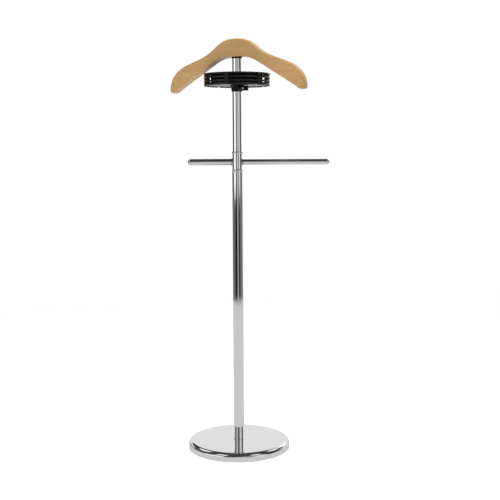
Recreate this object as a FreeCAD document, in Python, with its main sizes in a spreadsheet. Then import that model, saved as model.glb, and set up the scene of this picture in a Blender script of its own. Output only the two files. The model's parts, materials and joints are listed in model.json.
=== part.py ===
import FreeCAD, Part
import math
import os
import Sketcher

# Free-standing valet stand: weighted round base, two-piece tubular column, trouser bar on a
# swivelling sleeve, clamped accessory tray and a swivelling wooden hanger.
# Millimetres, +Z up. The origin is on the floor under the column axis, and the front is -Y.

doc = FreeCAD.newDocument("ValetStand")

# ---------------------------------------------------------------- driving dimensions
SIZES = {
    # weighted base
    "base_diameter": 280.0,
    "base_height": 23.0,
    "base_shoulder": 11.0,
    "base_wall": 1.2,
    "pad_height": 1.5,
    "pad_diameter": 266.0,
    "plate_thickness": 2.0,
    "plate_opening": 24.0,
    "weight_recess": 26.0,
    "weight_recess_top": 12.0,
    "bolt_diameter": 10.0,
    "bolt_head_height": 6.4,
    "bolt_head_flats": 17.0,
    "bolt_length": 42.0,
    "washer_thickness": 2.0,
    "washer_diameter": 32.0,
    # column
    "foot_ring_diameter": 30.0,
    "foot_ring_height": 1.5,
    "spigot_diameter": 26.0,
    "spigot_show": 33.0,
    "spigot_grip": 60.0,
    "lower_tube_diameter": 28.6,
    "upper_tube_diameter": 25.0,
    "tube_wall": 1.2,
    "sleeve_bottom": 772.0,
    "sleeve_height": 40.6,
    "sleeve_diameter": 27.0,
    "bead_height": 7.6,
    "bead_diameter": 29.6,
    "upper_tube_grip": 74.0,
    "upper_tube_top": 1066.5,
    "insert_height": 30.0,
    "stud_diameter": 8.0,
    "stud_length": 50.0,
    # trouser bar
    "bar_level": 791.0,
    "bar_wall": 1.2,
    "left_bar_diameter": 17.4,
    "left_bar_reach": 126.0,
    "right_bar_diameter": 14.8,
    "right_bar_reach": 241.0,
    "collar_step": 0.8,
    "collar_length": 2.6,
    "end_dome": 8.0,
    "end_grip": 16.0,
    # accessory tray
    "tray_bottom": 993.6,
    "tray_height": 32.8,
    "tray_diameter": 177.0,
    "gallery_wall": 2.4,
    "rim_height": 5.0,
    "rim_swell": 0.8,
    "foot_rail": 4.4,
    "slot_height": 4.6,
    "slot_pitch": 9.6,
    "slot_width": 80.0,
    "post_count": 6,
    "post_phase": 13.0,
    "notch_count": 4,
    "notch_azimuth": 22.5,
    "notch_width": 6.0,
    "notch_depth": 5.0,
    "rear_window_width": 14.0,
    "rear_window_azimuth": 56.0,
    "liner_thickness": 0.9,
    "liner_band": 1.5,
    "window_width": 12.0,
    "window_azimuth": 56.0,
    "pan_level": 2.2,
    "pan_thickness": 2.5,
    "hub_height": 30.0,
    "hub_bottom": 981.0,
    "hub_neck": 32.4,
    "hub_taper": 29.4,
    "bush_wall": 0.7,
    "bush_slit": 2.0,
    "bush_flange": 1.5,
    # tray clamp
    "clamp_level": 987.0,
    "clamp_azimuth": 28.0,
    "boss_diameter": 12.6,
    "boss_reach": 23.0,
    "lug_azimuth": 72.0,
    "lug_reach": 32.0,
    "lug_height": 13.0,
    "lug_thickness": 10.0,
    "clamp_screw_diameter": 5.0,
    "clamp_nut_diameter": 8.0,
    "clamp_nut_length": 6.0,
    "clamp_pad_length": 2.0,
    "knob_gap": 0.6,
    "knob_depth": 10.0,
    "knob_diameter": 14.0,
    "flute_count": 8,
    # hanger
    "hanger_yaw": 27.5,
    "hanger_thickness": 28.0,
    "hanger_underside": 1071.0,
    "hanger_edge_round": 5.0,
    "pivot_diameter": 8.0,
    "pivot_length": 56.0,
    "cap_flange": 4.4,
    "cap_diameter": 27.4,
    "cap_grip": 22.0,
    "insert_diameter": 12.0,
    "insert_length": 22.0,
    "nut_diameter": 14.0,
    "nut_height": 6.0,
    # clearances
    "press_gap": 0.05,
    "running_gap": 0.08,
    "face_gap": 0.1,
    "skirt_gap": 0.6,
    "bush_gap": 0.6,
}

sheet = doc.addObject("Spreadsheet::Sheet", "Sizes")
for row, (alias, value) in enumerate(SIZES.items(), start=1):
    sheet.set(f"A{row}", alias)
    sheet.set(f"B{row}", str(value))
    sheet.setAlias(f"B{row}", alias)
doc.recompute()


class Size:
    """A length or angle that knows both its number and its spreadsheet formula."""

    def __init__(self, value, formula):
        self.value = value
        self.formula = formula

    def combine(self, other, sign, result):
        text = other.formula if isinstance(other, Size) else repr(other)
        return Size(result, f"({self.formula} {sign} {text})")

    def __add__(self, other):
        return self.combine(other, "+", self.value + number(other))

    def __sub__(self, other):
        return self.combine(other, "-", self.value - number(other))

    def __mul__(self, other):
        return self.combine(other, "*", self.value * number(other))

    def __truediv__(self, other):
        return self.combine(other, "/", self.value / number(other))


def number(size):
    return size.value if isinstance(size, Size) else size


class Dimensions:
    """Each driving dimension as an attribute, bound to its spreadsheet cell."""

    def __init__(self, table):
        for alias in table:
            setattr(self, alias, Size(float(sheet.get(alias)), f"Sizes.{alias}"))


d = Dimensions(SIZES)
parts = {}


def bind(item, prop, size):
    """Set a property from a size, with its formula where it has one."""
    if isinstance(size, Size):
        item.setExpression(prop, size.formula)


def origin_plane(body, role):
    return next(f for f in body.Origin.OriginFeatures if f.Role == role)


def new_body(name):
    body = doc.addObject("PartDesign::Body", name)
    body.Label = name
    parts[name] = body
    return body


def new_sketch(body, name, plane):
    sketch = body.newObject("Sketcher::SketchObject", name)
    sketch.AttachmentSupport = (origin_plane(body, plane), [""])
    sketch.MapMode = "FlatFace"
    return sketch


def pin_vertex(sketch, geometry, end, across, up):
    """Fix one end of a line to its place from the sketch origin."""
    for kind, size, axis in (("DistanceX", across, -2), ("DistanceY", up, -1)):
        if number(size) == 0:
            sketch.addConstraint(Sketcher.Constraint("PointOnObject", geometry, end, axis))
            continue
        low, high = (-1, 1), (geometry, end)
        value, formula = number(size), getattr(size, "formula", None)
        if value < 0:
            low, high, value = high, low, -value
            formula = formula and f"-({formula})"
        index = sketch.addConstraint(Sketcher.Constraint(kind, *low, *high, value))
        if formula:
            sketch.setExpression(f"Constraints[{index}]", formula)


def arc_between(start, end, radius):
    """An arc from start to end; a positive radius bulges to the right of the way it runs."""
    chord = end - start
    rise = math.sqrt(max(radius**2 - (chord.Length / 2) ** 2, 0))
    side = FreeCAD.Vector(-chord.y, chord.x, 0).normalize() * (1 if radius > 0 else -1)
    centre = (start + end) / 2 + side * rise
    first, last = (start, end) if radius > 0 else (end, start)
    turn = [math.atan2(p.y - centre.y, p.x - centre.x) for p in (first, last)]
    circle = Part.Circle(centre, FreeCAD.Vector(0, 0, 1), abs(radius))
    return Part.ArcOfCircle(circle, *turn)


def draw_outline(sketch, outline):
    """A closed outline from corners (across, up) or (across, up, radius of the arc to the next)."""
    points = [FreeCAD.Vector(number(c[0]), number(c[1]), 0) for c in outline]
    for i, corner in enumerate(outline):
        start, end = points[i], points[(i + 1) % len(points)]
        if len(corner) == 3:
            sketch.addGeometry(arc_between(start, end, number(corner[2])), False)
        else:
            sketch.addGeometry(Part.LineSegment(start, end), False)
    ends = []
    for corner in outline:
        forward = len(corner) == 2 or number(corner[2]) > 0
        ends.append((1, 2) if forward else (2, 1))
    for i in range(len(outline)):
        after = (i + 1) % len(outline)
        sketch.addConstraint(Sketcher.Constraint("Coincident", i, ends[i][1], after, ends[after][0]))
    for i, corner in enumerate(outline):
        pin_vertex(sketch, i, ends[i][0], corner[0], corner[1])
        if len(corner) == 3:
            radius = corner[2]
            index = sketch.addConstraint(Sketcher.Constraint("Radius", i, abs(number(radius))))
            if isinstance(radius, Size):
                sign = "" if radius.value > 0 else "-"
                sketch.setExpression(f"Constraints[{index}]", sign + radius.formula)


def revolve(body, name, outline):
    """Turn an outline of (radius, height) corners about the body's own Z axis."""
    sketch = new_sketch(body, name + "_profile", "XZ_Plane")
    draw_outline(sketch, outline)
    turn = body.newObject("PartDesign::Revolution", name + "_turned")
    turn.Profile = sketch
    turn.ReferenceAxis = (sketch, ["V_Axis"])
    turn.Angle = 360
    return turn


def turned(name, outline):
    body = new_body(name)
    revolve(body, name, outline)
    return body


def lift(body, height):
    """Stand a body at a height on the column axis."""
    body.Placement.Base.z = number(height)
    bind(body, "Placement.Base.z", height)


def ring(inner, outer, bottom, top):
    return [(inner, bottom), (outer, bottom), (outer, top), (inner, top)]


def rod(radius, bottom, top):
    return [(0, bottom), (radius, bottom), (radius, top), (0, top)]


def draw_circle(sketch, radius, across=0):
    """A circle about the sketch origin, or offset from it along the horizontal axis."""
    centre = FreeCAD.Vector(number(across), 0, 0)
    circle = Part.Circle(centre, FreeCAD.Vector(0, 0, 1), number(radius))
    index = sketch.addGeometry(circle, False)
    pin_vertex(sketch, index, 3, across, 0)
    fixed = sketch.addConstraint(Sketcher.Constraint("Radius", index, number(radius)))
    if isinstance(radius, Size):
        sketch.setExpression(f"Constraints[{fixed}]", radius.formula)


def cut_through(body, name, plane, outline, length, both_ways=True, turned_by=0):
    """Cut an outline (corners, or a circle's radius and offset) along a plane's normal."""
    sketch = new_sketch(body, name + "_outline", plane)
    upright = FreeCAD.Vector(0, 1, 0)
    sketch.AttachmentOffset = FreeCAD.Placement(FreeCAD.Vector(), FreeCAD.Rotation(upright, turned_by))
    if isinstance(outline, tuple):
        draw_circle(sketch, *outline)
    else:
        draw_outline(sketch, outline)
    pocket = body.newObject("PartDesign::Pocket", name)
    pocket.Profile = sketch
    pocket.Type = "Length"
    pocket.Length = number(length)
    bind(pocket, "Length", length)
    pocket.Midplane = both_ways
    return pocket


def around(body, feature, name, count):
    """Repeat a feature evenly about the body's Z axis."""
    pattern = body.newObject("PartDesign::PolarPattern", name)
    pattern.Originals = [feature]
    pattern.Axis = (origin_plane(body, "Z_Axis"), [""])
    pattern.Angle = 360
    pattern.Occurrences = int(number(count))
    bind(pattern, "Occurrences", count)
    body.Tip = pattern
    return pattern


# ---------------------------------------------------------------- weighted base
base_radius = d.base_diameter / 2
cover_inside = base_radius - d.base_wall
cover_ceiling = d.base_height - d.base_wall
plate_top = d.pad_height + d.plate_thickness
bolt_hole = d.bolt_diameter / 2 + d.face_gap
SKIRT_CLEARANCE = 0.8


def make_base_cover():
    skirt_top = d.base_height - d.base_shoulder
    inner_round = d.base_shoulder - d.base_wall
    turned("base_cover", [
        (base_radius, d.skirt_gap),
        (base_radius, skirt_top, d.base_shoulder),
        (base_radius - d.base_shoulder, d.base_height),
        (bolt_hole, d.base_height),
        (bolt_hole, cover_ceiling),
        (cover_inside - inner_round, cover_ceiling, inner_round * -1),
        (cover_inside, skirt_top),
        (cover_inside, d.skirt_gap),
    ])


def make_base_weight():
    edge = cover_inside - SKIRT_CLEARANCE
    shoulder = d.base_shoulder - d.base_wall
    turned("base_weight", [
        (d.weight_recess, plate_top),
        (edge, plate_top),
        (edge, cover_ceiling - shoulder),
        (edge - shoulder, cover_ceiling),
        (bolt_hole, cover_ceiling),
        (bolt_hole, d.weight_recess_top),
        (d.weight_recess, d.weight_recess_top),
    ])


def make_bottom_plate():
    edge = cover_inside - d.face_gap
    turned("bottom_plate", ring(d.plate_opening, edge, d.pad_height, plate_top))


def make_floor_pad():
    turned("floor_pad", rod(d.pad_diameter / 2, 0, d.pad_height))


def make_base_fasteners():
    washer_bottom = d.weight_recess_top - d.washer_thickness
    lift(turned("base_washer", ring(bolt_hole, d.washer_diameter / 2, 0, d.washer_thickness)),
         washer_bottom)
    bolt = turned("base_bolt", rod(d.bolt_diameter / 2, 0, d.bolt_length))
    lift(bolt, washer_bottom)
    across_corners = d.bolt_head_flats / math.sqrt(3)
    head = new_sketch(bolt, "head_outline", "XY_Plane")
    half = d.bolt_head_flats / 2
    draw_outline(head, [
        (across_corners, 0), (across_corners / 2, half), (across_corners / -2, half),
        (across_corners * -1, 0), (across_corners / -2, half * -1), (across_corners / 2, half * -1),
    ])
    pad = bolt.newObject("PartDesign::Pad", "bolt_head")
    pad.Profile = head
    pad.Length = d.bolt_head_height.value
    bind(pad, "Length", d.bolt_head_height)
    pad.Reversed = True


# ---------------------------------------------------------------- column
ring_top = d.base_height + d.foot_ring_height
tube_bottom = ring_top + d.spigot_show
lower_bore = d.lower_tube_diameter / 2 - d.tube_wall
upper_bore = d.upper_tube_diameter / 2 - d.tube_wall
lower_tube_top = d.sleeve_bottom - d.bead_height
upper_tube_bottom = lower_tube_top - d.upper_tube_grip
sleeve_top = d.sleeve_bottom + d.sleeve_height
stud_hole = d.stud_diameter / 2 + d.press_gap


def make_column_foot():
    lift(turned("foot_ring", ring(bolt_hole, d.foot_ring_diameter / 2, 0, d.foot_ring_height)),
         d.base_height)
    thread_end = d.bolt_length
    spigot_top = d.spigot_show + d.spigot_grip
    lift(turned("foot_spigot", [
        (bolt_hole, 0),
        (d.spigot_diameter / 2, 0),
        (d.spigot_diameter / 2, spigot_top),
        (0, spigot_top),
        (0, thread_end),
        (bolt_hole, thread_end),
    ]), ring_top)


def make_tubes():
    end_break = d.tube_wall / 3
    lower = d.lower_tube_diameter / 2
    lift(turned("lower_tube", [
        (lower_bore, 0),
        (lower - end_break, 0),
        (lower, end_break),
        (lower, lower_tube_top - tube_bottom),
        (lower_bore, lower_tube_top - tube_bottom),
    ]), tube_bottom)
    lift(turned("upper_tube", ring(upper_bore, d.upper_tube_diameter / 2, 0,
                                   d.upper_tube_top - upper_tube_bottom)), upper_tube_bottom)


def make_tube_joint():
    """The plug, stud and insert that screw the two tubes together inside the column."""
    lift(turned("joint_plug", ring(stud_hole, lower_bore - d.press_gap, 0, d.insert_height)),
         upper_tube_bottom - d.insert_height)
    lift(turned("tube_insert", ring(stud_hole, upper_bore - d.press_gap, 0, d.insert_height)),
         upper_tube_bottom)
    lift(turned("joint_stud", rod(d.stud_diameter / 2, 0, d.stud_length)),
         upper_tube_bottom - d.stud_length / 2)


def make_bead_ring(name, bottom):
    """A rounded trim ring, threaded on to the upper tube, that keeps the sleeve in its place."""
    bore = d.upper_tube_diameter / 2 + d.press_gap
    outer = d.bead_diameter / 2
    lip = d.lower_tube_diameter / 2 - d.tube_wall / 2
    lift(turned(name, [
        (bore, 0),
        (lip, 0),
        (outer, d.bead_height * 0.38, d.bead_height * 0.32),
        (outer, d.bead_height * 0.62),
        (lip, d.bead_height),
        (bore, d.bead_height),
    ]), bottom)


# ---------------------------------------------------------------- trouser bar
sleeve_radius = d.sleeve_diameter / 2
sleeve_bore = d.upper_tube_diameter / 2 + d.running_gap


def make_bar_sleeve():
    lift(turned("bar_sleeve", ring(sleeve_bore, sleeve_radius, 0, d.sleeve_height - d.face_gap * 2)),
         d.sleeve_bottom + d.face_gap)


def aim_along(body, level, azimuth):
    """Lay a body's own Z axis level, pointing at an azimuth counted from +X."""
    body.Placement = FreeCAD.Placement(
        FreeCAD.Vector(0, 0, number(level)),
        FreeCAD.Rotation(azimuth, 90, 0),
    )
    bind(body, "Placement.Base.z", level)


def make_bar(side, azimuth, diameter, reach):
    """One arm of the trouser bar with its weld collar and domed end plug, built along +Z."""
    radius = diameter / 2
    bore = radius - d.bar_wall
    root = sleeve_radius / 2
    span = d.sleeve_diameter * 2
    arm = turned(f"{side}_bar", ring(bore, radius, root, reach))
    weld_face = (sleeve_radius + d.press_gap,)
    cut_through(arm, f"{side}_bar_cope", "YZ_Plane", weld_face, span)
    collar_radius = radius + d.collar_step
    collar = turned(f"{side}_collar", ring(radius + d.press_gap, collar_radius, root,
                                           sleeve_radius + d.collar_length))
    cut_through(collar, f"{side}_collar_cope", "YZ_Plane", weld_face, span)
    grip = reach - d.end_grip
    neck = bore - d.press_gap
    dome_radius = (radius * radius + d.end_dome * d.end_dome) / (d.end_dome * 2)
    plug = turned(f"{side}_end_plug", [
        (0, grip),
        (neck, grip),
        (neck, reach),
        (radius, reach, dome_radius),
        (0, reach + d.end_dome),
    ])
    for body in (arm, collar, plug):
        aim_along(body, d.bar_level, azimuth)


# ---------------------------------------------------------------- accessory tray
gallery_radius = d.tray_diameter / 2
gallery_inside = gallery_radius - d.gallery_wall
liner_rise = d.liner_thickness + 0.4
pan_bottom = d.pan_level
pan_top = pan_bottom + d.pan_thickness
bush_inside = d.upper_tube_diameter / 2 + d.running_gap
bush_outside = bush_inside + d.bush_wall
hub_bore = bush_outside + d.running_gap
hub_rise = d.tray_bottom - d.hub_bottom


def make_gallery():
    """The slotted wall of the tray: rolled rim, two thin rails, notched foot rail, rear windows."""
    rim = d.tray_height - d.rim_height
    swell = gallery_radius + d.rim_swell
    body = turned("tray_gallery", [
        (gallery_inside, 0),
        (gallery_radius, 0),
        (gallery_radius, rim),
        (swell, rim + d.rim_swell * 2),
        (swell, d.tray_height - d.rim_swell),
        (swell - d.rim_swell, d.tray_height),
        (gallery_inside, d.tray_height),
    ])
    half = d.slot_width / 2
    reach = gallery_radius * 1.2
    for row in range(3):
        low = d.foot_rail + d.slot_pitch * row
        high = low + d.slot_height
        slot = cut_through(body, f"slot_{row}", "XZ_Plane", [
            (half * -1, low), (half, low), (half, high), (half * -1, high),
        ], reach, both_ways=False)
        around(body, slot, f"slot_{row}_ring", d.post_count)
    edge = d.notch_width / 2
    notch = cut_through(body, "foot_notch", "XZ_Plane", [
        (edge * -1, d.notch_depth * -1), (edge, d.notch_depth * -1),
        (edge, d.notch_depth), (edge * -1, d.notch_depth),
    ], reach, both_ways=False, turned_by=d.notch_azimuth.value)
    around(body, notch, "foot_notch_ring", d.notch_count)
    half = d.rear_window_width / 2
    for name, side in (("rear_window_a", 1), ("rear_window_b", -1)):
        azimuth = 180 + side * d.rear_window_azimuth.value - d.post_phase.value
        cut_through(body, name, "XZ_Plane", [
            (half * -1, d.foot_rail), (half, d.foot_rail), (half, rim), (half * -1, rim),
        ], reach, both_ways=False, turned_by=azimuth)
    body.Placement = FreeCAD.Placement(FreeCAD.Vector(0, 0, d.tray_bottom.value),
                                       FreeCAD.Rotation(d.post_phase.value, 0, 0))
    bind(body, "Placement.Base.z", d.tray_bottom)


def make_liner():
    """A thin band inside the gallery that closes its slots, apart from four tall windows."""
    bottom = pan_top + liner_rise
    top = d.tray_height - d.rim_height + d.liner_band
    outer = gallery_inside - d.press_gap
    body = turned("tray_liner", ring(outer - d.liner_thickness, outer, bottom, top))
    half = d.window_width / 2
    low, high = bottom + d.liner_band, top - d.liner_band * 2
    for name, azimuth in (("window_a", 1), ("window_b", -1)):
        cut_through(body, name, "XZ_Plane", [
            (half * -1, low), (half, low), (half, high), (half * -1, high),
        ], d.tray_diameter * 1.2, turned_by=azimuth * d.window_azimuth.value)
    lift(body, d.tray_bottom)


def make_pan():
    rise = liner_rise - d.face_gap
    edge = gallery_inside - d.press_gap
    lift(turned("tray_pan", [
        (d.hub_neck / 2 + d.press_gap, pan_bottom),
        (edge, pan_bottom),
        (edge, pan_top + rise),
        (edge - rise, pan_top + rise),
        (edge - rise * 2, pan_top),
        (d.hub_neck / 2 + d.press_gap, pan_top),
    ]), d.tray_bottom)


def compass(azimuth):
    """Level direction at an azimuth counted from the front towards the right."""
    angle = math.radians(azimuth.value)
    return FreeCAD.Vector(math.sin(angle), -math.cos(angle), 0)


def cylinder(name, radius, length, start, direction):
    """A plain cylinder on the clamp's level, from a distance out along a direction."""
    item = doc.addObject("Part::Cylinder", name)
    for prop, size in (("Radius", radius), ("Height", length)):
        setattr(item, prop, number(size))
        bind(item, prop, size)
    base = direction * number(start)
    base.z = d.clamp_level.value
    item.Placement = FreeCAD.Placement(base, FreeCAD.Rotation(FreeCAD.Vector(0, 0, 1), direction))
    bind(item, "Placement.Base.z", d.clamp_level)
    return item


def make_hub():
    """The hub under the pan: a boss bored for the clamp screw, and a lug to hold it by."""
    neck = d.hub_neck / 2
    ledge = neck + 2.5
    blank = turned("tray_hub_blank", [
        (0, 0),
        (d.hub_taper / 2, 0),
        (neck, hub_rise - 1.5),
        (ledge, hub_rise),
        (ledge, hub_rise + pan_bottom),
        (neck, hub_rise + pan_bottom),
        (neck, d.hub_height),
        (0, d.hub_height),
    ])
    del parts["tray_hub_blank"]
    lift(blank, d.hub_bottom)
    out = compass(d.clamp_azimuth)
    boss = cylinder("hub_boss", d.boss_diameter / 2, d.boss_reach, 0, out)

    lug = doc.addObject("Part::Box", "hub_lug")
    for prop, size in (("Length", d.lug_reach - d.lug_thickness / 2), ("Width", d.lug_thickness),
                       ("Height", d.lug_height)):
        setattr(lug, prop, size.value)
        bind(lug, prop, size)
    side = compass(d.lug_azimuth)
    low = d.hub_bottom.value + 0.6
    across = FreeCAD.Vector(-side.y, side.x, 0) * (d.lug_thickness.value / 2)
    lug.Placement = FreeCAD.Placement(FreeCAD.Vector(0, 0, low) - across,
                                      FreeCAD.Rotation(FreeCAD.Vector(1, 0, 0), side))
    tip = doc.addObject("Part::Cylinder", "hub_lug_end")
    for prop, size in (("Radius", d.lug_thickness / 2), ("Height", d.lug_height)):
        setattr(tip, prop, size.value)
        bind(tip, prop, size)
    tip.Placement.Base = side * (d.lug_reach.value - d.lug_thickness.value / 2)
    tip.Placement.Base.z = low

    whole = doc.addObject("Part::MultiFuse", "tray_hub_solid")
    whole.Shapes = [blank, boss, lug, tip]
    bore = doc.addObject("Part::Cylinder", "hub_bore")
    bore.Radius = hub_bore.value
    bind(bore, "Radius", hub_bore)
    bore.Height = d.hub_height.value * 2
    bore.Placement.Base.z = d.hub_bottom.value - d.hub_height.value / 2
    screw_way = cylinder("hub_screw_way", d.clamp_screw_diameter / 2 + d.face_gap,
                         d.boss_reach + 1, 0, out)
    nut_depth = d.clamp_nut_length + d.face_gap
    nut_seat = cylinder("hub_nut_seat", d.clamp_nut_diameter / 2 + d.press_gap, nut_depth + 2,
                        d.boss_reach - nut_depth, out)
    cutters = doc.addObject("Part::MultiFuse", "tray_hub_ways")
    cutters.Shapes = [bore, screw_way, nut_seat]
    hub = doc.addObject("Part::Cut", "tray_hub")
    hub.Base = whole
    hub.Tool = cutters
    hub.Refine = True
    parts["tray_hub"] = hub


def make_bush():
    """A split nylon bush that the clamp squeezes on to the tube; it carries the tray."""
    flange = hub_bore - d.running_gap + 0.9
    flange_top = d.bush_gap * -1
    body = turned("tray_bush", [
        (bush_inside, flange_top - d.bush_flange),
        (flange, flange_top - d.bush_flange),
        (flange, flange_top),
        (bush_outside, flange_top),
        (bush_outside, d.hub_height + d.face_gap),
        (flange, d.hub_height + d.face_gap),
        (flange - 0.4, d.hub_height + 1.2),
        (bush_inside, d.hub_height + 1.2),
    ])
    half = d.bush_slit / 2
    tall = d.hub_height * 2
    cut_through(body, "bush_slit", "XZ_Plane", [
        (half * -1, tall * -1), (half, tall * -1), (half, tall), (half * -1, tall),
    ], d.upper_tube_diameter, both_ways=False)
    lift(body, d.hub_bottom)


# ---------------------------------------------------------------- tray clamp
def along_clamp(body):
    """Lay a body's own Z axis along the clamp screw, pointing outwards."""
    turn = FreeCAD.Rotation(FreeCAD.Vector(0, 0, 1), compass(d.clamp_azimuth))
    body.Placement = FreeCAD.Placement(FreeCAD.Vector(0, 0, d.clamp_level.value), turn)
    bind(body, "Placement.Base.z", d.clamp_level)


def make_clamp():
    screw = d.clamp_screw_diameter / 2
    pad_tip = bush_outside + d.running_gap * 2
    screw_tip = pad_tip + d.clamp_pad_length + d.press_gap
    knob_back = d.boss_reach + d.knob_gap
    knob_face = knob_back + d.knob_depth
    nut_inner = d.boss_reach - d.clamp_nut_length + d.press_gap
    chamfer = 0.8
    knob_radius = d.knob_diameter / 2
    bodies = [
        turned("clamp_pad", rod(screw - d.press_gap, pad_tip, pad_tip + d.clamp_pad_length)),
        turned("clamp_screw", [
            (0, screw_tip), (screw, screw_tip), (screw, knob_face),
            (screw - chamfer, knob_face + chamfer), (0, knob_face + chamfer),
        ]),
        turned("clamp_nut", ring(screw + d.press_gap, d.clamp_nut_diameter / 2, nut_inner,
                                 d.boss_reach)),
        turned("clamp_knob", [
            (screw + d.press_gap, knob_back),
            (knob_radius - chamfer, knob_back),
            (knob_radius, knob_back + chamfer),
            (knob_radius, knob_face - chamfer * 2),
            (knob_radius - chamfer * 2, knob_face),
            (screw + d.press_gap, knob_face),
        ]),
    ]
    flute = cut_through(bodies[-1], "knob_flute", "XY_Plane", (Size(1.6, "1.6"), knob_radius + 0.8),
                        knob_face * 3)
    around(bodies[-1], flute, "knob_flutes", d.flute_count)
    for body in bodies:
        along_clamp(body)


# ---------------------------------------------------------------- hanger
# Half outline of the hanger beside the column axis: (across, above the underside's centre).
CROWN = [(0, 47.3), (28, 44.4), (52, 32.2), (72, 16.8), (96, 3.2), (128, -9.0), (160, -21.6),
         (183, -37.0), (197.5, -58.0), (203.0, -81.0)]
END_ROUND = [CROWN[-1], (201.0, -88.8), (193.5, -91.0)]
HEEL = [(190.0, -90.0), (186.2, -87.6), (182.0, -83.6)]
ARCH = [(72.0, -17.2), (44.0, -4.4), (16.0, 0.0)]


def smooth_edge(points):
    curve = Part.BSplineCurve()
    curve.interpolate(points)
    return curve.toShape()


def make_hanger():
    """The shaped wooden board: crown, sloping arms and rounded shoulders."""
    base = d.hanger_underside.value
    depth = d.hanger_thickness.value

    def at(point, side=1):
        return FreeCAD.Vector(side * point[0], -depth / 2, base + point[1])

    edges = [smooth_edge([at(p, -1) for p in reversed(CROWN[1:])] + [at(p) for p in CROWN])]
    for side in (1, -1):
        end, heel, arch = ([at(p, side) for p in line] for line in (END_ROUND, HEEL, ARCH))
        edges += [smooth_edge(end), smooth_edge(heel), smooth_edge(arch),
                  Part.makeLine(end[-1], heel[0]), Part.makeLine(heel[-1], arch[0])]
    edges.append(Part.makeLine(at(ARCH[-1]), at(ARCH[-1], -1)))
    outline = Part.Wire(Part.__sortEdges__(edges))
    board = Part.Face(outline).extrude(FreeCAD.Vector(0, depth, 0))

    def on_face(edge):
        return abs(edge.BoundBox.YLength) < 0.01

    half_length = CROWN[-1][0]
    crown = [e for e in board.Edges if on_face(e) and e.BoundBox.XLength > half_length]
    board = board.makeFillet(d.hanger_edge_round.value, crown)
    socket = Part.makeCylinder(d.insert_diameter.value / 2 + d.press_gap.value,
                               d.insert_length.value + 1.1, FreeCAD.Vector(0, 0, base - 1))
    board = board.cut(socket)
    feature = doc.addObject("Part::Feature", "hanger_board")
    feature.Shape = board.Solids[0]
    feature.Placement = FreeCAD.Placement(FreeCAD.Vector(), FreeCAD.Rotation(-d.hanger_yaw.value, 0, 0))
    parts["hanger_board"] = feature


def make_hanger_pivot():
    """A bolt screwed into the board turns in the cap on the tube; a nut keeps it there."""
    pivot = d.pivot_diameter / 2
    plug = upper_bore - d.press_gap
    flange = d.cap_diameter / 2
    lift(turned("tube_cap", [
        (pivot + d.running_gap, d.cap_grip * -1),
        (plug, d.cap_grip * -1),
        (plug, 0),
        (flange, 0),
        (flange, d.cap_flange),
        (pivot + d.running_gap, d.cap_flange),
    ]), d.upper_tube_top)
    lift(turned("hanger_insert", ring(pivot + d.press_gap, d.insert_diameter / 2, d.face_gap,
                                      d.insert_length)), d.hanger_underside)
    bolt_top = d.hanger_underside + d.insert_length
    bolt_bottom = bolt_top - d.pivot_length
    lift(turned("pivot_bolt", rod(pivot, 0, d.pivot_length)), bolt_bottom)
    nut_bottom = d.upper_tube_top - d.cap_grip - d.face_gap - d.nut_height
    lift(turned("pivot_nut", ring(pivot + d.press_gap, d.nut_diameter / 2, 0, d.nut_height)),
         nut_bottom)


make_base_cover()
make_base_weight()
make_bottom_plate()
make_floor_pad()
make_base_fasteners()
make_column_foot()
make_tubes()
make_tube_joint()
make_bead_ring("lower_ring", lower_tube_top)
make_bead_ring("upper_ring", sleeve_top)
make_bar_sleeve()
make_bar("left", 180, d.left_bar_diameter, d.left_bar_reach)
make_bar("right", 0, d.right_bar_diameter, d.right_bar_reach)
make_gallery()
make_liner()
make_pan()
make_hub()
make_bush()
make_clamp()
make_hanger()
make_hanger_pivot()

# ---------------------------------------------------------------- checks and files
doc.recompute()
for item in doc.Objects:
    if "Invalid" in item.State or "Error" in item.State:
        raise RuntimeError(f"{item.Name} failed: {item.State}")

os.makedirs("parts", exist_ok=True)
for old in os.listdir("parts"):
    os.remove(os.path.join("parts", old))
for name, item in sorted(parts.items()):
    shape = item.Shape
    if shape.isNull() or not shape.isValid():
        raise RuntimeError(f"{name} has no valid shape")
    shape.exportStep(os.path.join("parts", name + ".step"))
    box = shape.BoundBox
    print(f"{name:16s} {len(shape.Solids)} solid  volume {shape.Volume / 1000:9.2f} cm3  "
          f"z {box.ZMin:8.2f} to {box.ZMax:8.2f}  x {box.XMin:8.2f} to {box.XMax:8.2f}")
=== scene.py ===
import bpy
import json
import math
from mathutils import Matrix, Vector


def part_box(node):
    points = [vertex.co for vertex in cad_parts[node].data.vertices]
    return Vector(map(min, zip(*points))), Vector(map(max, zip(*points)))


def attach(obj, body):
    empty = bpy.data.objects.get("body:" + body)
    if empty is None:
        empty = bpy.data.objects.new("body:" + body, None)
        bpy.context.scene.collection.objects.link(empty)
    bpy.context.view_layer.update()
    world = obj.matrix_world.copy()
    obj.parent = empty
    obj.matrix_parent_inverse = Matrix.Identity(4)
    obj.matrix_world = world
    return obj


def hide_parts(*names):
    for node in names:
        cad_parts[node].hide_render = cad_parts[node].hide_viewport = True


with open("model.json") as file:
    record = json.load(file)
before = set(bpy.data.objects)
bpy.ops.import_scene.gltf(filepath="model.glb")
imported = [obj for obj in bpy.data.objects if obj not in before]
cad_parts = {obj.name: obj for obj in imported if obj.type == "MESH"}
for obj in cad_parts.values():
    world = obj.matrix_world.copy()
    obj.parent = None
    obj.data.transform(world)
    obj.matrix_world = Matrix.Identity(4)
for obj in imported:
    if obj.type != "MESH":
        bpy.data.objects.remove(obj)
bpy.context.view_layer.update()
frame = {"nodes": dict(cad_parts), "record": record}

# The chromed valet stand and its studio: turned chrome pieces, the slotted tray, the materials
# of every piece, and the lights and camera. Metres, +Z up, front -Y.

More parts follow.
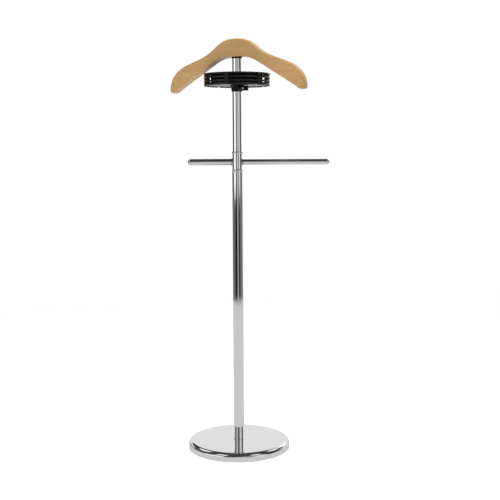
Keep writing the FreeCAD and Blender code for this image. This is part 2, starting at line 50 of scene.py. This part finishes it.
MM = 0.001
TURN = 2 * math.pi
FRONT = -math.pi / 2        # the direction of the front, as an angle about Z


# ---------------------------------------------------------------- shader helpers
def new_material(name):
    material = bpy.data.materials.new(name)
    material.use_nodes = True
    tree = material.node_tree
    return material, tree, tree.nodes["Principled BSDF"]


def add_node(tree, kind, **settings):
    node = tree.nodes.new(kind)
    for key, value in settings.items():
        if key in node.inputs:
            node.inputs[key].default_value = value
        else:
            setattr(node, key, value)
    return node


def noise(tree, source, scale, detail=3.0, roughness=0.5):
    node = add_node(tree, "ShaderNodeTexNoise", Scale=scale, Detail=detail)
    node.inputs["Roughness"].default_value = roughness
    tree.links.new(source, node.inputs["Vector"])
    return node.outputs["Fac"]


def place(tree, stretch=(1, 1, 1), turn=0.0):
    """Object coordinates, stretched and turned about Z."""
    where = add_node(tree, "ShaderNodeTexCoord")
    mapping = add_node(tree, "ShaderNodeMapping")
    mapping.inputs["Rotation"].default_value = (0, 0, turn)
    mapping.inputs["Scale"].default_value = stretch
    tree.links.new(where.outputs["Object"], mapping.inputs["Vector"])
    return mapping.outputs["Vector"]


def span(tree, source, low, high, start=0.0, end=1.0):
    """The source's values from start to end, mapped to low to high and held there."""
    node = add_node(tree, "ShaderNodeMapRange")
    for key, value in (("From Min", start), ("From Max", end), ("To Min", low), ("To Max", high)):
        node.inputs[key].default_value = value
    tree.links.new(source, node.inputs["Value"])
    return node.outputs["Result"]


def bump(tree, shader, height, strength, distance):
    node = add_node(tree, "ShaderNodeBump", Strength=strength, Distance=distance)
    tree.links.new(height, node.inputs["Height"])
    tree.links.new(node.outputs["Normal"], shader.inputs["Normal"])


def colours(tree, source, stops):
    ramp = add_node(tree, "ShaderNodeValToRGB")
    elements = ramp.color_ramp.elements
    while len(elements) < len(stops):
        elements.new(0.5)
    for element, (position, colour) in zip(elements, stops):
        element.position = position
        element.color = (*colour, 1)
    tree.links.new(source, ramp.inputs["Fac"])
    return ramp.outputs["Color"]


# ---------------------------------------------------------------- materials
def metal(name, colour, roughness, spread, haze_scale=40.0, brushed=(1, 1, 1)):
    """A metal with a faint uneven haze in its polish."""
    material, tree, shader = new_material(name)
    shader.inputs["Base Color"].default_value = (*colour, 1)
    shader.inputs["Metallic"].default_value = 1.0
    haze = noise(tree, place(tree, brushed), haze_scale, detail=4.0)
    tree.links.new(span(tree, haze, roughness, roughness + spread, 0.35, 0.7),
                   shader.inputs["Roughness"])
    return material


def plastic(name, colour, roughness, grain_scale, grain_depth, specular=0.5):
    """A moulded plastic with a fine grain."""
    material, tree, shader = new_material(name)
    shader.inputs["Base Color"].default_value = (*colour, 1)
    shader.inputs["Specular IOR Level"].default_value = specular
    where = place(tree)
    grain = noise(tree, where, grain_scale, detail=2.0)
    smear = noise(tree, where, 35.0, detail=3.0)
    tree.links.new(span(tree, smear, roughness * 0.85, roughness * 1.25, 0.3, 0.7),
                   shader.inputs["Roughness"])
    bump(tree, shader, grain, 0.25, grain_depth)
    return material


def varnished_wood(name, yaw):
    """Close-grained pale hardwood under clear varnish; the grain runs along the board."""
    material, tree, shader = new_material(name)
    along = place(tree, (1.6, 11.0, 24.0), yaw)
    figure = noise(tree, along, 4.0, detail=5.0, roughness=0.55)
    fleck = noise(tree, place(tree, (6.0, 150.0, 150.0), yaw), 3.0, detail=2.0)
    base = colours(tree, figure, [
        (0.30, (0.500, 0.284, 0.088)), (0.5, (0.545, 0.316, 0.102)), (0.72, (0.592, 0.350, 0.116))])
    dark = colours(tree, fleck, [(0.30, (0.86, 0.82, 0.78)), (0.46, (1, 1, 1))])
    mix = add_node(tree, "ShaderNodeMix", data_type="RGBA", blend_type="MULTIPLY")
    mix.inputs[0].default_value = 0.25
    tree.links.new(base, mix.inputs[6])
    tree.links.new(dark, mix.inputs[7])
    tree.links.new(mix.outputs[2], shader.inputs["Base Color"])
    shader.inputs["Roughness"].default_value = 0.50
    shader.inputs["Coat Weight"].default_value = 0.75
    shader.inputs["Coat Roughness"].default_value = 0.14
    bump(tree, shader, figure, 0.06, 0.0002)
    return material


HANGER_YAW = math.radians(27.5)     # the board's turn about the column, which its grain follows
MATERIALS = {
    "chrome_base": metal("chrome_base", (0.90, 0.915, 0.905), 0.035, 0.035, 22.0),
    "chrome_tube": metal("chrome_tube", (0.90, 0.91, 0.915), 0.045, 0.04, 30.0),
    "chrome_ring": metal("chrome_ring", (0.90, 0.91, 0.915), 0.06, 0.04, 60.0),
    "chrome_bar": metal("chrome_bar", (0.88, 0.89, 0.90), 0.07, 0.05, 40.0),
    "chrome_plug": metal("chrome_plug", (0.88, 0.89, 0.90), 0.10, 0.05, 80.0),
    "weld_grey": metal("weld_grey", (0.50, 0.50, 0.50), 0.32, 0.12, 400.0),
    "zinc_steel": metal("zinc_steel", (0.78, 0.79, 0.80), 0.22, 0.12, 300.0),
    "plain_steel": metal("plain_steel", (0.52, 0.52, 0.52), 0.30, 0.15, 80.0, (1, 1, 30)),
    "brass_insert": metal("brass_insert", (0.72, 0.53, 0.24), 0.24, 0.10, 90.0, (1, 1, 20)),
    "cast_weight": metal("cast_weight", (0.09, 0.09, 0.09), 0.60, 0.20, 500.0),
    "black_steel": plastic("black_steel", (0.03, 0.03, 0.03), 0.40, 900.0, 0.00005),
    "black_plastic": plastic("black_plastic", (0.008, 0.008, 0.008), 0.27, 1400.0, 0.00002, 0.38),
    "knob_plastic": plastic("knob_plastic", (0.004, 0.004, 0.004), 0.30, 1600.0, 0.00003, 0.35),
    # The tube cap's brownish black is partly the cap's own black plastic and partly painted shade:
    # the shadow under the hanger's board.
    "cap_plastic": plastic("cap_plastic", (0.030, 0.020, 0.014), 0.45, 1500.0, 0.00004),
    "nylon_bush": plastic("nylon_bush", (0.02, 0.02, 0.02), 0.5, 1200.0, 0.00004),
    "floor_rubber": plastic("floor_rubber", (0.03, 0.03, 0.03), 0.75, 700.0, 0.0001),
    "varnished_beech": varnished_wood("varnished_beech", HANGER_YAW),
}
# A darker, duller copy of the black plastic for the liner: painted shade, standing in for the
# shadow in the slots behind the gallery.
LINER_PAINTED_SHADE = plastic("liner_painted_shade", (0.001, 0.001, 0.001), 0.60, 1400.0, 0.00002, 0.05)
SLOT_OF = {part["node"]: part["material_slot"] for part in frame["record"]["subparts"]}
BODY_OF = {node: body for body, group in frame["record"]["behaviour"]["bodies"].items()
           for node in group}


def dress(obj, slot):
    obj.data.materials.clear()
    obj.data.materials.append(MATERIALS[slot])


# ---------------------------------------------------------------- mesh helpers
# Edges that turn by more than this many degrees are shaded sharp.
TURNED_SHARP, MOULDED_SHARP, PLAIN_SHARP = 50.0, 40.0, 35.0


def mesh_object(name, vertices, faces, sharp_angle=PLAIN_SHARP):
    mesh = bpy.data.meshes.new(name)
    mesh.from_pydata([tuple(v) for v in vertices], [], faces)
    mesh.validate()
    obj = bpy.data.objects.new(name, mesh)
    bpy.context.scene.collection.objects.link(obj)
    mesh.shade_smooth()
    mesh.set_sharp_from_angle(angle=math.radians(sharp_angle))
    return obj


def arc(centre, radius, start, end, steps):
    """Points (radius, height) round a centre, from one angle to another in degrees."""
    angles = (math.radians(start + (end - start) * i / steps) for i in range(steps + 1))
    return [(centre[0] + radius * math.cos(a), centre[1] + radius * math.sin(a)) for a in angles]


SUPPORT = 0.25 * MM     # how far a supporting point stands from its corner
AXIS = 1e-7             # a smaller radius than this is on the axis


def supported(profile, closed=True):
    """The profile with a point close to each end of its long straights, to hold the shading."""
    points = []
    following = profile[1:] + (profile[:1] if closed else [])
    for here, after in zip(profile, following):
        points.append(here)
        gap = math.dist(here, after)
        if gap > 8 * SUPPORT:
            for part in (SUPPORT / gap, 1 - SUPPORT / gap):
                points.append((here[0] + (after[0] - here[0]) * part,
                               here[1] + (after[1] - here[1]) * part))
    if not closed:
        points.append(profile[-1])
    return points


def lathe(profile, segments=160, closed=True):
    """Vertices and faces of a profile (radius, height) turned about Z.

    A closed profile goes round a hollow wall; an open one starts and ends on the axis.
    """
    profile = supported(profile, closed)
    vertices, faces = [], []
    rings = []
    for radius, height in profile:
        if radius < AXIS:
            rings.append([len(vertices)])
            vertices.append(Vector((0, 0, height)))
            continue
        rings.append(list(range(len(vertices), len(vertices) + segments)))
        for i in range(segments):
            a = TURN * i / segments
            vertices.append(Vector((radius * math.cos(a), radius * math.sin(a), height)))
    pairs = list(zip(rings, rings[1:]))
    if closed:
        pairs.append((rings[-1], rings[0]))
    for low, high in pairs:
        for i in range(segments):
            j = (i + 1) % segments
            if len(low) == 1:
                faces.append((low[0], high[j], high[i]))
            elif len(high) == 1:
                faces.append((low[i], low[j], high[0]))
            else:
                faces.append((low[i], low[j], high[j], high[i]))
    return vertices, faces


def sector(profile, start, end, steps):
    """A closed profile (radius, height) swept about Z between two angles, with flat ends."""
    vertices, faces = [], []
    count = len(profile)
    for k in range(steps + 1):
        a = start + (end - start) * k / steps
        vertices += [Vector((r * math.cos(a), r * math.sin(a), h)) for r, h in profile]
    for k in range(steps):
        for i in range(count):
            j = (i + 1) % count
            a, b = k * count, (k + 1) * count
            faces.append((a + i, b + i, b + j, a + j))
    faces.append(tuple(range(count)))
    faces.append(tuple(reversed(range(steps * count, (steps + 1) * count))))
    return vertices, faces


def joined(shells):
    """Several shells as one mesh."""
    vertices, faces = [], []
    for more_vertices, more_faces in shells:
        base = len(vertices)
        vertices += more_vertices
        faces += [tuple(base + i for i in face) for face in more_faces]
    return vertices, faces


def rounded_box(inner, outer, bottom, top, radius, steps=4):
    """Closed cross-section with its four corners rounded, counter-clockwise."""
    corners = [((outer - radius, bottom + radius), -90), ((outer - radius, top - radius), 0),
               ((inner + radius, top - radius), 90), ((inner + radius, bottom + radius), 180)]
    profile = []
    for centre, angle in corners:
        profile += arc(centre, radius, angle, angle + 90, steps)
    return profile


def stand_in(name, shape, node, sharp_angle):
    """Show a modelled mesh in place of a CAD node."""
    obj = mesh_object(name, *shape, sharp_angle=sharp_angle)
    dress(obj, SLOT_OF[node])
    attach(obj, BODY_OF[node])
    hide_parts(node)
    return obj


def reach(node):
    """(outer radius, bottom, top) of a node that is round about the column's axis."""
    low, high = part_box(node)
    return (high[0] - low[0]) / 2, low[2], high[2]


# ---------------------------------------------------------------- base and column
TUBE_WALL = 1.2 * MM
# Radii of the holes in the pieces, and of the plain land beside a ring's bead.
BOLT_HOLE, SLEEVE_BORE, RING_BORE, RING_LAND = 5.1 * MM, 12.58 * MM, 12.55 * MM, 13.7 * MM


def build_base_cover():
    radius, bottom, top = reach("base_cover")
    shoulder, wall = 11 * MM, 1.2 * MM
    skirt = top - shoulder
    lip = 0.5 * MM
    profile = [(radius - wall, bottom), (radius - lip, bottom)]
    profile += arc((radius - lip, bottom + lip), lip, -60, 0, 4)
    profile += arc((radius - shoulder, skirt), shoulder, 0, 90, 28)
    profile += [(radius * f, top) for f in (0.9, 0.7, 0.5, 0.3, 0.15)]
    profile += [(BOLT_HOLE, top), (BOLT_HOLE, top - wall)]
    profile += arc((radius - shoulder, skirt), shoulder - wall, 90, 0, 12)
    stand_in("base_cover_shell", lathe(profile, 256), "base_cover", TURNED_SHARP)


def build_foot():
    radius, bottom, top = reach("foot_ring")
    edge = 0.5 * MM
    profile = [(BOLT_HOLE, bottom), (radius, bottom)]
    profile += arc((radius - edge, top - edge), edge, 0, 90, 5) + [(BOLT_HOLE, top)]
    stand_in("foot_ring_turned", lathe(profile), "foot_ring", TURNED_SHARP)

    radius, bottom, top = reach("foot_spigot")
    edge = 0.6 * MM
    profile = [(0, bottom), (radius - edge, bottom)]
    profile += arc((radius - edge, bottom + edge), edge, -90, 0, 4)
    profile += [(radius, bottom + (top - bottom) * f) for f in (0.2, 0.4, 0.6, 0.8)]
    profile += arc((radius - edge, top - edge), edge, 0, 90, 4) + [(0, top)]
    stand_in("foot_spigot_turned", lathe(profile, closed=False), "foot_spigot", TURNED_SHARP)


def build_tube(node, edge, bore=None, spans=12):
    """A thin-walled tube with its outer rims broken, its length in so many spans."""
    radius, bottom, top = reach(node)
    inner = bore or radius - TUBE_WALL
    profile = [(inner, bottom), (radius - edge, bottom)]
    profile += arc((radius - edge, bottom + edge), edge, -90, 0, 4)
    profile += [(radius, bottom + (top - bottom) * k / spans) for k in range(1, spans)]
    profile += arc((radius - edge, top - edge), edge, 0, 90, 4)
    profile += [(inner, top)]
    stand_in(node + "_polished", lathe(profile), node, TURNED_SHARP)


def build_bead(node):
    """A bead ring with a full-round outer face between two small steps."""
    radius, bottom, top = reach(node)
    step, facets = 0.9 * MM, 16
    middle = (bottom + top) / 2
    half = (top - bottom) / 2 - step
    depth = radius - RING_LAND
    profile = [(RING_BORE, bottom), (RING_LAND, bottom), (RING_LAND, bottom + step)]
    for k in range(1, facets):
        a = math.radians(-90 + 180 * k / facets)
        profile.append((RING_LAND + depth * math.cos(a), middle + half * math.sin(a)))
    profile += [(RING_LAND, top - step), (RING_LAND, top), (RING_BORE, top)]
    stand_in(node + "_bead", lathe(profile), node, TURNED_SHARP)


ARM_ROOT = 11.4 * MM


def laid_over(shape, sign, level):
    """A shape built along +Z, laid along +X or -X at the given level."""
    vertices, faces = shape
    lay = Matrix.Translation((0, 0, level)) @ Matrix.Rotation(sign * math.pi / 2, 4, "Y")
    return [lay @ v for v in vertices], faces


def build_bar(side, sign):
    """One arm of the trouser bar and its domed end plug."""
    low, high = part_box(f"{side}_bar")
    radius = (high[2] - low[2]) / 2
    level = (low[2] + high[2]) / 2
    tip = max(abs(low[0]), abs(high[0]))
    bore = radius - TUBE_WALL
    edge = 0.3 * MM
    profile = [(bore, ARM_ROOT), (radius, ARM_ROOT)]
    profile += [(radius, ARM_ROOT + (tip - ARM_ROOT) * k / 6) for k in range(1, 6)]
    profile += arc((radius - edge, tip - edge), edge, 0, 90, 3) + [(bore, tip)]
    tube = laid_over(lathe(profile, 96), sign, level)
    stand_in(f"{side}_arm_tube", tube, f"{side}_bar", TURNED_SHARP)

    plug_low, plug_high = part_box(f"{side}_end_plug")
    start, end = sorted((abs(plug_low[0]), abs(plug_high[0])))
    face, rim, gap, facets = tip + 0.15 * MM, 0.8 * MM, 0.05 * MM, 14
    rise = end - face - rim
    profile = [(0, start), (bore - gap, start), (bore - gap, face), (radius - 2 * gap, face)]
    for k in range(facets):
        a = math.radians(90 * k / facets)
        profile.append(((radius - gap) * math.cos(a), face + rim + rise * math.sin(a)))
    profile.append((0, end))
    plug = laid_over(lathe(profile, 96, closed=False), sign, level)
    stand_in(f"{side}_arm_plug", plug, f"{side}_end_plug", TURNED_SHARP)


# ---------------------------------------------------------------- tray
SLOT_ROWS = 3
FOOT_RAIL, SLOT_HEIGHT, SLOT_PITCH = 4.4 * MM, 4.6 * MM, 9.6 * MM
TRAY_YAW = 13.0
POST_COUNT, NOTCH_COUNT = 6, 4
POST_HALF_ANGLE, NOTCH_HALF = 0.050, 3.0 * MM
# The posts stand half a pitch past the tray's yaw, the notches a quarter of theirs.
POST_PHASE = FRONT + math.radians(TRAY_YAW + 360 / POST_COUNT / 2)
NOTCH_PHASE = FRONT + math.radians(TRAY_YAW + 360 / NOTCH_COUNT / 4)
# The liner has four windows; the two at the rear go through the gallery's rails as well.
WINDOW_AZIMUTH = math.radians(56.0)
FRONT_WINDOWS = [FRONT - WINDOW_AZIMUTH, FRONT + WINDOW_AZIMUTH]
REAR_WINDOWS = [FRONT + math.pi - WINDOW_AZIMUTH, FRONT + math.pi + WINDOW_AZIMUTH]
REAR_WINDOW_HALF, LINER_WINDOW_HALF = 7.0 * MM, 6.0 * MM


def build_gallery():
    """Rim, two rails, a foot rail broken by four notches, and the posts."""
    outer, bottom, top = reach("tray_gallery")
    swell, wall = 0.8 * MM, 2.4 * MM
    face = outer - swell
    inner = face - wall
    rim_bottom = bottom + FOOT_RAIL + SLOT_PITCH * (SLOT_ROWS - 1) + SLOT_HEIGHT
    rim = [(inner, rim_bottom), (face, rim_bottom)]
    rim += arc((face, (rim_bottom + top) / 2 + 0.3 * MM), swell, -90, 0, 5)
    rim += arc((outer - swell, top - swell), swell, 0, 90, 5)
    rim += arc((inner + swell / 2, top - swell / 2), swell / 2, 90, 180, 4)
    shells = [lathe(rim, 192)]
    corner = 0.6 * MM
    gap = REAR_WINDOW_HALF / face
    first, last = REAR_WINDOWS
    for row in range(SLOT_ROWS - 1):
        low = bottom + FOOT_RAIL + SLOT_HEIGHT + SLOT_PITCH * row
        rail = rounded_box(inner, face, low, low + SLOT_PITCH - SLOT_HEIGHT, corner)
        shells.append(sector(rail, first + gap, last - gap, 60))
        shells.append(sector(rail, last + gap, first + TURN - gap, 132))
    foot = rounded_box(inner, face, bottom, bottom + FOOT_RAIL, corner)
    notch = NOTCH_HALF / face
    for k in range(NOTCH_COUNT):
        start = NOTCH_PHASE + TURN * k / NOTCH_COUNT
        shells.append(sector(foot, start + notch, start + TURN / NOTCH_COUNT - notch, 48))
    # The posts are a little thinner than the rails, and end inside the foot rail and the rim.
    shy, corner = 0.15 * MM, 0.4 * MM
    post = rounded_box(inner + shy, face - shy, bottom + 0.4 * MM, rim_bottom + 0.5 * MM, corner)
    for k in range(POST_COUNT):
        middle = POST_PHASE + TURN * k / POST_COUNT
        shells.append(sector(post, middle - POST_HALF_ANGLE, middle + POST_HALF_ANGLE, 6))
    stand_in("tray_gallery_moulded", joined(shells), "tray_gallery", MOULDED_SHARP)


def build_liner():
    """The thin band behind the slots: two hoops joined by four stretches between its windows."""
    outer, bottom, top = reach("tray_liner")
    inner, band = outer - 0.9 * MM, 1.5 * MM
    edge, shy = 0.2 * MM, 0.05 * MM
    half = LINER_WINDOW_HALF / outer
    shells = [lathe(rounded_box(inner, outer, bottom, bottom + band, edge, 2), 192),
              lathe(rounded_box(inner, outer, top - band * 2, top, edge, 2), 192)]
    windows = FRONT_WINDOWS + REAR_WINDOWS
    stretch = rounded_box(inner + shy, outer - shy, bottom + edge, top - edge, edge, 2)
    for start, end in zip(windows, windows[1:] + [windows[0] + TURN]):
        shells.append(sector(stretch, start + half, end - half, 48))
    liner = stand_in("tray_liner_band", joined(shells), "tray_liner", MOULDED_SHARP)
    # The liner takes that darker copy: painted shade that darkens the slots.
    liner.data.materials[0] = LINER_PAINTED_SHADE


def build_pan():
    radius, bottom, top = reach("tray_pan")
    hole, edge, wall, cove = 16.25 * MM, 0.6 * MM, 1.2 * MM, 2.0 * MM
    floor = top - wall
    profile = [(hole, bottom), (radius - edge, bottom)]
    profile += arc((radius - edge, bottom + edge), edge, -90, 0, 4)
    profile += [(radius, top), (radius - wall, top)]
    profile += arc((radius - wall - cove, floor + cove), cove, -20, -90, 6)
    profile += [(radius * f, floor) for f in (0.8, 0.6, 0.4)] + [(hole, floor)]
    stand_in("tray_pan_moulded", lathe(profile, 192), "tray_pan", MOULDED_SHARP)


# ---------------------------------------------------------------- CAD nodes that stay
BEVEL_WIDTHS = {"hanger_board": 1.0 * MM, "tray_hub": 0.7 * MM, "clamp_knob": 0.4 * MM,
                "tube_cap": 0.4 * MM, "left_collar": 0.3 * MM, "right_collar": 0.3 * MM}
BEVEL_ANGLE = 40


def dress_cad_nodes():
    """Give each CAD node that is still shown its material, and break the edges of some."""
    for name, obj in frame["nodes"].items():
        if obj.hide_render:
            continue
        dress(obj, SLOT_OF[name])
        if name in BEVEL_WIDTHS:
            bevel = obj.modifiers.new("edge", "BEVEL")
            bevel.width = BEVEL_WIDTHS[name]
            bevel.segments = 3
            bevel.limit_method = "ANGLE"
            bevel.angle_limit = math.radians(BEVEL_ANGLE)
            bevel.harden_normals = True


# ---------------------------------------------------------------- studio
def emissive(name, strength):
    material = bpy.data.materials.new(name)
    material.use_nodes = True
    tree = material.node_tree
    tree.nodes.clear()
    light = add_node(tree, "ShaderNodeEmission", Strength=strength)
    out = add_node(tree, "ShaderNodeOutputMaterial")
    tree.links.new(light.outputs[0], out.inputs["Surface"])
    return material


STAGE_RADIUS, SURROUND_RADIUS = 2.5, 12.0
FLOOR_LEVEL, CARD_LEVEL = -0.0002, -0.0006


def build_floor():
    """A white floor, its soft reflection card, and a white surround shown only to the camera."""
    disc = lathe([(0, 0), (STAGE_RADIUS, 0)], 128, closed=False)
    floor = mesh_object("studio_floor", *disc)
    floor.location.z = FLOOR_LEVEL
    material, tree, shader = new_material("studio_floor")
    shader.inputs["Base Color"].default_value = (0.93, 0.93, 0.93, 1)
    shader.inputs["Roughness"].default_value = 0.9
    shader.inputs["Emission Color"].default_value = (1, 1, 1, 1)
    shader.inputs["Emission Strength"].default_value = 0.55
    floor.data.materials.append(material)
    floor.visible_glossy = False
    card = mesh_object("floor_card", *disc)
    card.location.z = CARD_LEVEL
    card.data.materials.append(emissive("card_grey", 0.63))
    card.visible_camera = False
    card.visible_diffuse = False
    ball = arc((0, 0), SURROUND_RADIUS, -90, 90, 18)
    ball[0], ball[-1] = (0, -SURROUND_RADIUS), (0, SURROUND_RADIUS)
    surround = mesh_object("studio_surround", *lathe(ball, 48, closed=False))
    surround.data.materials.append(emissive("studio_white", 1.02))
    for ray in ("visible_diffuse", "visible_glossy", "visible_transmission", "visible_shadow"):
        setattr(surround, ray, False)


# Brightness of the surroundings, with their soft boxes and black flags, by azimuth in degrees
# from the front, going right. The chrome mirrors them as upright stripes.
REAR, CEILING = 0.80, 0.05
LEVEL_RING = [(-180, REAR), (-152, REAR), (-144, 0.08), (-84, 0.10), (-77, 1.15), (-46, 1.15),
              (-38, 0.9), (-30, 0.12), (-10, 0.14), (-3, 0.62), (10, 0.62), (17, 0.26), (33, 0.26),
              (40, 0.75), (62, 0.75), (70, 0.06), (104, 0.07), (114, 0.5), (140, REAR),
              (180, REAR)]
LOW_RING = [(-180, REAR), (-152, 0.6), (-140, 0.16), (-84, 0.14), (-68, 0.10), (-50, 0.06),
            (-36, 0.0), (-12, 0.0), (-5, 0.42), (4, 0.42), (12, 0.20), (20, 0.20), (27, 0.01),
            (44, 0.01), (54, 0.14), (110, 0.20), (130, 0.5), (180, REAR)]
SHOULDER_RING = [(-180, REAR), (-128, REAR), (-120, 0.12), (-66, 0.10), (-58, 0.75), (-38, 0.75),
                 (-31, 0.07), (-6, 0.08), (6, 0.10), (10, 0.42), (32, 0.42), (40, 0.85), (58, 0.85),
                 (66, 0.03), (92, 0.03), (106, 0.25), (118, 0.6), (130, REAR), (180, REAR)]
BACK_RING = [(-180, CEILING), (130, CEILING), (138, 1.2), (170, 1.2), (174, CEILING),
             (180, CEILING)]
HIGH_RING = [(-180, 0.10), (-150, 0.08), (-140, 1.0), (-110, 1.0), (-100, 0.06), (-66, 0.06),
             (-58, 1.2), (-36, 1.2), (-28, 0.05), (30, 0.05), (38, 1.2), (56, 1.2), (64, 0.06),
             (100, 0.06), (112, 1.0), (140, 1.0), (150, 0.08), (180, 0.10)]
CEILING_RING = [(-180, CEILING), (180, CEILING)]
# Each ring takes over from the one before it between two heights, as the sine of the elevation.
RINGS_ABOVE = [(LEVEL_RING, -0.062, -0.046), (SHOULDER_RING, 0.15, 0.19), (BACK_RING, 0.35, 0.39),
               (HIGH_RING, 0.60, 0.64), (CEILING_RING, 0.80, 0.84)]
# The rings' colours are divided by this, and the world's strength multiplies them by it again.
BRIGHTEST = 1.2


def build_world():
    world = bpy.data.worlds.new("studio")
    bpy.context.scene.world = world
    world.use_nodes = True
    tree = world.node_tree
    where = add_node(tree, "ShaderNodeTexCoord")
    split = add_node(tree, "ShaderNodeSeparateXYZ")
    tree.links.new(where.outputs["Generated"], split.inputs[0])
    flipped = add_node(tree, "ShaderNodeMath", operation="MULTIPLY")
    flipped.inputs[1].default_value = -1.0
    tree.links.new(split.outputs["Y"], flipped.inputs[0])
    azimuth = add_node(tree, "ShaderNodeMath", operation="ARCTAN2")
    tree.links.new(split.outputs["X"], azimuth.inputs[0])
    tree.links.new(flipped.outputs[0], azimuth.inputs[1])
    turn = span(tree, azimuth.outputs[0], 0.0, 1.0, -math.pi, math.pi)
    height = split.outputs["Z"]

    def ring(stops):
        return colours(tree, turn, [((a + 180) / 360, (v / BRIGHTEST,) * 3) for a, v in stops])

    sky = ring(LOW_RING)
    for stops, start, end in RINGS_ABOVE:
        mix = add_node(tree, "ShaderNodeMix", data_type="RGBA")
        tree.links.new(span(tree, height, 0.0, 1.0, start, end), mix.inputs[0])
        tree.links.new(sky, mix.inputs[6])
        tree.links.new(ring(stops), mix.inputs[7])
        sky = mix.outputs[2]
    background = tree.nodes["Background"]
    background.inputs["Strength"].default_value = BRIGHTEST
    tree.links.new(sky, background.inputs["Color"])


def area_light(name, place_at, aim, size, power):
    data = bpy.data.lights.new(name, "AREA")
    data.shape = "DISK"
    data.size = size
    data.energy = power
    lamp = bpy.data.objects.new(name, data)
    bpy.context.scene.collection.objects.link(lamp)
    lamp.location = place_at
    lamp.rotation_euler = (Vector(aim) - Vector(place_at)).to_track_quat("-Z", "Y").to_euler()
    lamp.visible_glossy = False
    lamp.visible_camera = False


def build_lights():
    area_light("overhead", (0.3, -0.4, 3.4), (0, 0, 0.6), 2.4, 60)
    area_light("front_fill", (-1.2, -3.2, 1.9), (0, 0, 0.8), 2.0, 36)


CAMERA_AT = (0.033, -2.602, 0.842)
CAMERA_PITCH, CAMERA_ROLL = math.radians(6.37), math.radians(0.28)
CAMERA_LENS, CAMERA_SENSOR = 69.0, 36.0


def build_camera():
    data = bpy.data.cameras.new("camera")
    data.lens = CAMERA_LENS
    data.sensor_width = CAMERA_SENSOR
    camera = bpy.data.objects.new("camera", data)
    bpy.context.scene.collection.objects.link(camera)
    camera.matrix_world = (Matrix.Translation(CAMERA_AT)
                           @ Matrix.Rotation(math.pi / 2 - CAMERA_PITCH, 4, "X")
                           @ Matrix.Rotation(-CAMERA_ROLL, 4, "Z"))
    bpy.context.scene.camera = camera


# ---------------------------------------------------------------- build
build_base_cover()
build_foot()
build_tube("lower_tube", 0.6 * MM)
build_tube("upper_tube", 0.3 * MM)
build_tube("bar_sleeve", 0.3 * MM, SLEEVE_BORE, spans=1)
for bead in ("lower_ring", "upper_ring"):
    build_bead(bead)
build_bar("left", -1)
build_bar("right", 1)
build_gallery()
build_liner()
build_pan()
dress_cad_nodes()
build_floor()
build_world()
build_lights()
build_camera()
bpy.context.scene.view_settings.view_transform = "Standard"

bpy.context.view_layer.update()
